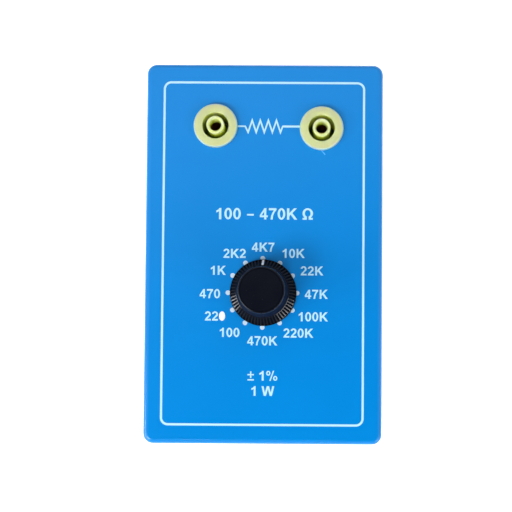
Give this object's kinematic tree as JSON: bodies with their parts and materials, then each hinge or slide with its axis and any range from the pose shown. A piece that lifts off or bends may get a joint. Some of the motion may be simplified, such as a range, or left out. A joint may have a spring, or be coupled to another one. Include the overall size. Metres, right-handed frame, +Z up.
{
  "type": "resistance substitution box",
  "caption": "Flat moulded case with shrouded plug sockets and a fluted rotary knob that picks a resistor by a printed dial.",
  "frame": {"origin": "middle of the footprint, at the level of the table under the feet", "axes": "+Z up out of the face, +Y along the face towards the sockets, +X across the face to the right"},
  "size_m": [0.0824, 0.1316, 0.0592],
  "materials": {
    "case_blue": "satin moulded ABS",
    "socket_green": "moulded nylon",
    "knob_black": "moulded, fine sheen",
    "pointer_white": "filled line",
    "foot_rubber": "matt",
    "zinc_steel": "zinc plated",
    "cast_zinc": "as cast",
    "brass": "turned",
    "tinned_metal": "tinned brass",
    "black_moulding": "moulded",
    "white_moulding": "moulded acetal",
    "brown_laminate": "phenolic laminate",
    "board_green": "solder resist",
    "resistor_coat": "lacquer",
    "lead_yellow": "PVC insulation"
  },
  "bodies": {
    "case": {"case_shell": "case_blue", "base_cover": "case_blue", "base_screws": "zinc_steel", "rubber_feet": "foot_rubber", "left_socket_body": "socket_green", "left_socket_contact": "brass", "left_socket_nut": "socket_green", "left_socket_tag": "tinned_metal", "right_socket_body": "socket_green", "right_socket_contact": "brass", "right_socket_nut": "socket_green", "right_socket_tag": "tinned_metal", "switch_plate": "cast_zinc", "switch_housing": "black_moulding", "switch_wafer": "brown_laminate", "switch_terminals": "tinned_metal", "switch_rivets": "tinned_metal", "lock_washer": "zinc_steel", "panel_nut": "zinc_steel", "circuit_board": "board_green", "left_lead": "lead_yellow", "right_lead": "lead_yellow", "resistor_100": "resistor_coat", "resistor_220": "resistor_coat", "resistor_470": "resistor_coat", "resistor_1k": "resistor_coat", "resistor_2k2": "resistor_coat", "resistor_4k7": "resistor_coat", "resistor_10k": "resistor_coat", "resistor_22k": "resistor_coat", "resistor_47k": "resistor_coat", "resistor_100k": "resistor_coat", "resistor_220k": "resistor_coat", "resistor_470k": "resistor_coat"},
    "selector": {"switch_shaft": "zinc_steel", "shaft_clip": "zinc_steel", "switch_rotor": "white_moulding", "detent_spring": "zinc_steel", "detent_balls": "zinc_steel", "wiper_contact": "brass", "knob_body": "knob_black", "knob_pointer": "pointer_white", "knob_cap": "knob_black", "knob_collet": "brass", "collet_nut": "zinc_steel"}
  },
  "joints": [
    {"name": "selector_spin", "type": "hinge", "parent": "case", "child": "selector", "pos_m": [0, -0.0137, 0.0428], "axis": [0, 0, 1], "range_deg": [-180, 150]}
  ]
}
